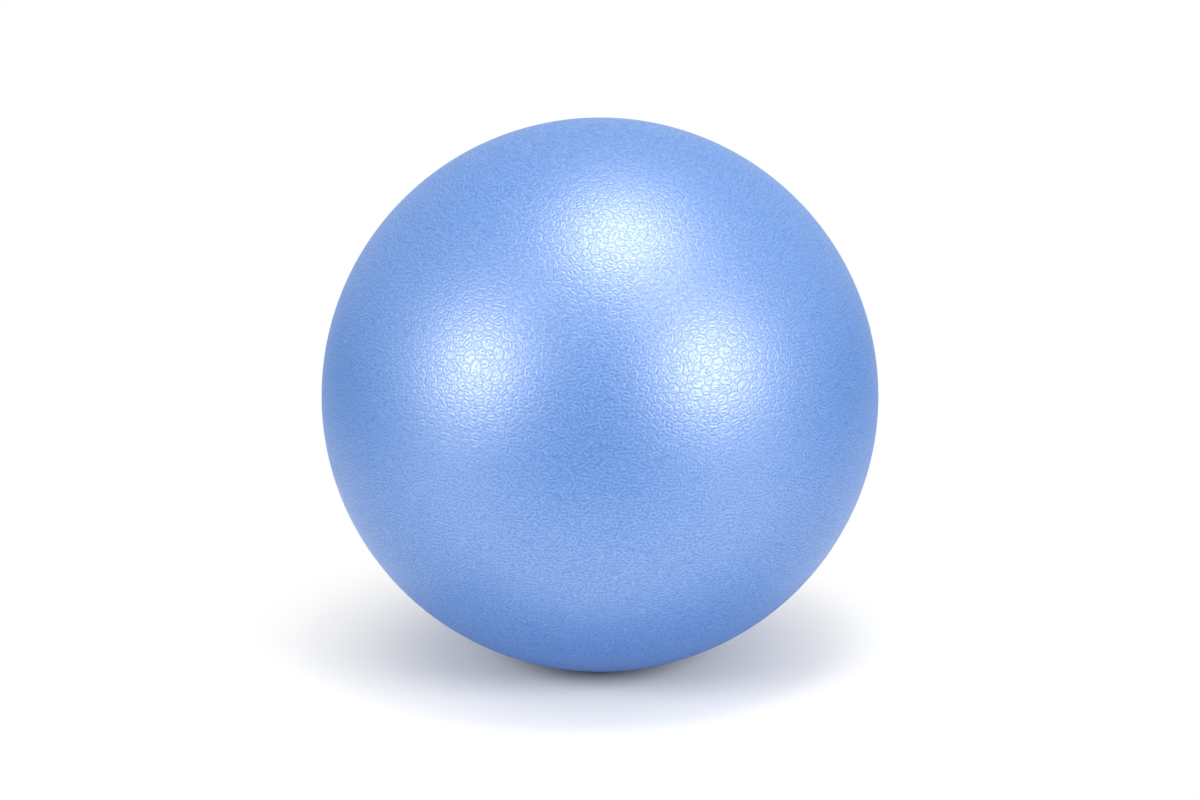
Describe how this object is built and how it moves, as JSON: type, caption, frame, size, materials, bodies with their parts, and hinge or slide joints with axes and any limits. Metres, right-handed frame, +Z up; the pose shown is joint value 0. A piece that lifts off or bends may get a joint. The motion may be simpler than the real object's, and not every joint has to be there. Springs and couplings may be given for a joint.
{
  "type": "gym ball",
  "caption": "Round soft inflatable exercise ball with a grained vinyl skin, a flush air valve and a pull-out plug.",
  "frame": {"origin": "centre of the flat patch where the ball rests on the floor", "axes": "+Z up through the ball's centre, +Y out through the valve, -Y towards the viewer of the picture"},
  "size_m": [0.25, 0.2497, 0.2474],
  "materials": {
    "skin_vinyl": "satin",
    "valve_vinyl": "satin",
    "plug_plastic": "satin"
  },
  "bodies": {
    "ball": {"ball_skin": "skin_vinyl", "valve_sleeve": "valve_vinyl"},
    "plug": {"valve_plug": "plug_plastic"}
  },
  "joints": [
    {"name": "plug_pull", "type": "slide", "parent": "ball", "child": "plug", "axis": [0, 1, 0], "range_m": [0, 0.025]}
  ]
}
